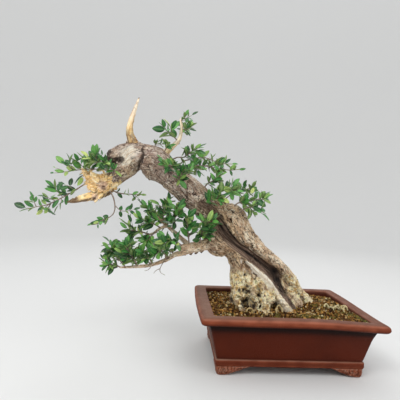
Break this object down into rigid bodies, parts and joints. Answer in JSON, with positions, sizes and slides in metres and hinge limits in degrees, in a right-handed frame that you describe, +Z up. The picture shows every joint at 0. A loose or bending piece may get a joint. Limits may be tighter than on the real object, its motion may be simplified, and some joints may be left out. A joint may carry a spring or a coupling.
{
  "type": "olive bonsai in a pot",
  "caption": "Old leaning olive bonsai with bleached deadwood and sparse leafy shoots, in a rectangular unglazed clay pot on cloud feet.",
  "frame": {"origin": "middle of the whole object's footprint, on the surface it stands on", "axes": "+X along the pot's long side, away from the crown; +Y towards the pot's back; +Z up"},
  "size_m": [0.68, 0.2454, 0.5032],
  "materials": {
    "bark": "rough bark and bare, weathered wood",
    "clay": "unglazed, smooth satin stoneware",
    "soil": "loose granules of grit and fired clay",
    "screen": "moulded mesh, matte",
    "foliage": "leathery, satin above and greyish below"
  },
  "bodies": {
    "root": {"trunk": "bark", "pot": "clay", "soil": "soil", "drain_screen_left": "screen", "drain_screen_right": "screen", "leafy_stem_crown_far_left": "foliage", "leafy_stem_crown_upper_left": "foliage", "leafy_stem_crown_tuft_left": "foliage", "leafy_stem_crown_tuft_front": "foliage", "leafy_stem_crown_tuft_back": "foliage", "leafy_stem_crown_under_right": "foliage", "leafy_stem_crown_hanging": "foliage", "leafy_stem_top_left": "foliage", "leafy_stem_top_tip": "foliage", "leafy_stem_top_right": "foliage", "leafy_stem_top_back": "foliage", "leafy_stem_knuckle_left": "foliage", "leafy_stem_knuckle_mid": "foliage", "leafy_stem_right_near": "foliage", "leafy_stem_right_long": "foliage", "leafy_stem_right_upper": "foliage", "leafy_stem_right_back": "foliage", "leafy_stem_front_upper": "foliage", "leafy_stem_front_lower": "foliage", "leafy_stem_mid_right": "foliage", "leafy_stem_mid_right_low": "foliage", "leafy_stem_shoulder_right": "foliage", "leafy_stem_shoulder_low": "foliage", "leafy_stem_trunk_front": "foliage", "leafy_stem_mid_back": "foliage", "leafy_stem_branch_top": "foliage", "leafy_stem_branch_top_left": "foliage", "leafy_stem_branch_mid": "foliage", "leafy_stem_branch_inner": "foliage", "leafy_stem_branch_inner_right": "foliage", "leafy_stem_arch_tip": "foliage", "leafy_stem_arch_up": "foliage", "leafy_stem_arch_down": "foliage", "leafy_stem_stub_front": "foliage", "leafy_stem_low_inner": "foliage", "leafy_stem_low_mid": "foliage", "leafy_stem_low_left": "foliage", "leafy_stem_low_tip": "foliage", "leafy_stem_low_up": "foliage", "leafy_stem_low_back": "foliage", "leafy_stem_branch_back": "foliage", "leafy_stem_low_far_back": "foliage"}
  },
  "joints": []
}
